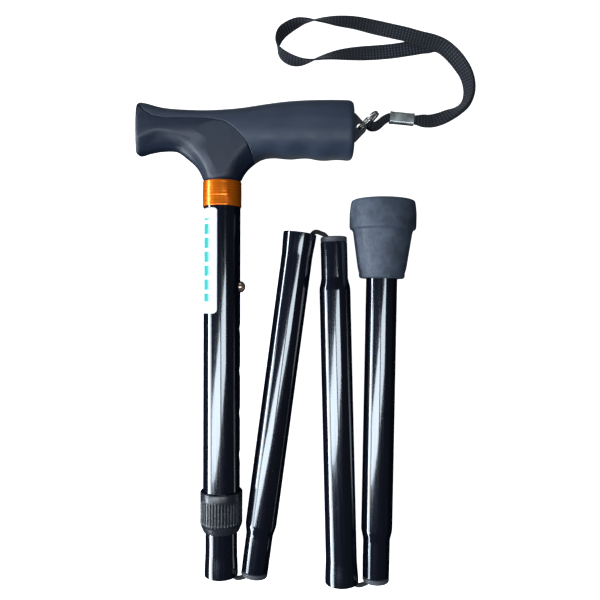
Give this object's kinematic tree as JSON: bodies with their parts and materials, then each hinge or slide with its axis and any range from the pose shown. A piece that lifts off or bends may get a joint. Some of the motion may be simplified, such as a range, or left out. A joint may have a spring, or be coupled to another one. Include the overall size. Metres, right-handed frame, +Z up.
{
  "type": "folding walking stick",
  "caption": "Folding, height-adjustable walking stick with a T grip, rubber tip and wrist strap, folded flat into parallel tube sections.",
  "frame": {"origin": "centre of the bounding box without the strap, at the height of the surface the folded stick lies on", "axes": "+Y along the upper tube towards the grip, +Z up out of the plane of the folded tubes, +X across the sections towards the tip"},
  "size_m": [0.2075, 0.3519, 0.04],
  "materials": {
    "soft_cover": "matte soft-touch blue-grey",
    "hard_core": "satin moulded blue-grey",
    "lug": "satin moulded dark grey",
    "steel": "plain steel",
    "collar": "orange anodised",
    "tube_black": "gloss black",
    "label": "white film, blank",
    "collet": "grey nylon",
    "nut": "dark grey, ribbed",
    "copper": "copper-coloured polished metal",
    "elastic": "black braided elastic",
    "plug": "dark grey moulded",
    "tip": "matte grey rubber",
    "ring": "bright nickel",
    "webbing": "black woven webbing with a blue-grey weave",
    "crimp": "plain pressed aluminium"
  },
  "bodies": {
    "root": {"grip_cover": "soft_cover", "handle_core": "hard_core", "strap_lug": "lug", "handle_pin": "steel", "collar_ring": "collar", "upper_tube": "tube_black", "tube_label": "label", "tube_collet": "collet"},
    "inner": {"inner_tube": "tube_black", "inner_guide_cap": "collet", "button_spring": "steel", "elastic_anchor_upper": "collet", "elastic_cord_1": "elastic", "elastic_loop_1": "elastic"},
    "button": {"snap_button": "copper"},
    "nut": {"locking_nut": "nut"},
    "elastic_2": {"elastic_cord_2": "elastic"},
    "section_2": {"section_tube_2": "tube_black", "end_plug_2": "plug", "elastic_loop_2": "elastic"},
    "elastic_3": {"elastic_cord_3": "elastic"},
    "section_3": {"section_tube_3": "tube_black", "end_plug_3": "plug", "elastic_loop_3": "elastic"},
    "elastic_4": {"elastic_cord_4": "elastic"},
    "section_4": {"section_tube_4": "tube_black", "end_plug_4": "plug", "elastic_anchor_lower": "collet", "elastic_knot_lower": "elastic", "tip_washer": "steel", "rubber_tip": "tip"},
    "ring": {"split_ring": "ring"},
    "strap": {"strap_webbing": "webbing", "strap_crimp": "crimp"}
  },
  "joints": [
    {"name": "height_slide", "type": "slide", "parent": "root", "child": "inner", "axis": [0, -1, 0], "range_m": [0, 0.1016], "deforming": ["snap_button"]},
    {"name": "button_press", "type": "slide", "parent": "inner", "child": "button", "axis": [-1, 0, 0], "range_m": [0, 0.0046], "stiffness_N_per_m": 400, "deforming": ["button_spring"]},
    {"name": "nut_turn", "type": "hinge", "parent": "root", "child": "nut", "pos_m": [-0.0318, -0.0996, 0.02], "axis": [0, 1, 0], "range_deg": [0, 360]},
    {"name": "fold_2", "type": "hinge", "parent": "inner", "child": "elastic_2", "pos_m": [-0.022, -0.13885, 0.02], "axis": [0, 0, -1], "range_deg": [0, 172.5], "deforming": ["elastic_loop_1"]},
    {"name": "seat_2", "type": "slide", "parent": "elastic_2", "child": "section_2", "axis": [-0.1305, -0.9914, 0], "range_m": [0, 0.03]},
    {"name": "fold_3", "type": "hinge", "parent": "section_2", "child": "elastic_3", "pos_m": [0.02498, 0.06557, 0.02], "axis": [0, 0, 1], "range_deg": [0, 171], "deforming": ["elastic_loop_2"]},
    {"name": "seat_3", "type": "slide", "parent": "elastic_3", "child": "section_3", "axis": [-0.0262, 0.9997, 0], "range_m": [0, 0.03]},
    {"name": "fold_4", "type": "hinge", "parent": "section_3", "child": "elastic_4", "pos_m": [0.05065, -0.14299, 0.02], "axis": [0, 0, -1], "range_deg": [0, 177.5], "deforming": ["elastic_loop_3"]},
    {"name": "seat_4", "type": "slide", "parent": "elastic_4", "child": "section_4", "axis": [-0.0175, -0.9998, 0], "range_m": [0, 0.03]},
    {"name": "ring_swing", "type": "hinge", "parent": "root", "child": "ring", "pos_m": [0.0509, 0.1303, 0.02], "axis": [0, 0, 1], "range_deg": [-45, 12]},
    {"name": "strap_lift", "type": "hinge", "parent": "ring", "child": "strap", "pos_m": [0.0569, 0.135, 0.01], "axis": [1, 0, 0], "range_deg": [0, 75], "deforming": ["strap_webbing"]}
  ],
  "couplings": [
    {"joint": "fold_3", "follows": "fold_2", "ratio": 0.9913},
    {"joint": "fold_4", "follows": "fold_2", "ratio": 1.029},
    {"joint": "seat_3", "follows": "seat_2", "ratio": 1},
    {"joint": "seat_4", "follows": "seat_2", "ratio": 1}
  ]
}
